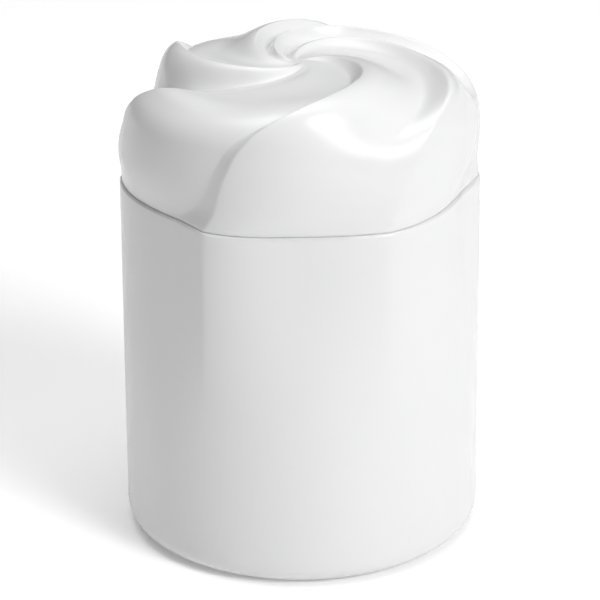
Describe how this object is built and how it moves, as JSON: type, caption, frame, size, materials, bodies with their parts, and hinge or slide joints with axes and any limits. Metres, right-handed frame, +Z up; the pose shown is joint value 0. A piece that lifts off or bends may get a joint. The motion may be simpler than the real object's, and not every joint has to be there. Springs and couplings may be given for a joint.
{
  "type": "lidded porcelain jar",
  "caption": "White glazed porcelain jar with a round pot and a tall lift-off lid shaped as a swirling rosette of petals.",
  "frame": {"origin": "centre of the foot ring on the surface it stands on", "axes": "+Z up along the jar's axis, -Y towards the front of the view that was rebuilt"},
  "size_m": [0.105, 0.105, 0.1459],
  "materials": {
    "pot_glaze": "clear gloss glaze over white porcelain",
    "lid_glaze": "clear gloss glaze over white porcelain"
  },
  "bodies": {
    "jar_body": {"jar_body": "pot_glaze"},
    "lid": {"lid": "lid_glaze"}
  },
  "joints": [
    {"name": "lid_lift", "type": "slide", "parent": "jar_body", "child": "lid", "axis": [0, 0, 1], "range_m": [0, 0.08]}
  ]
}
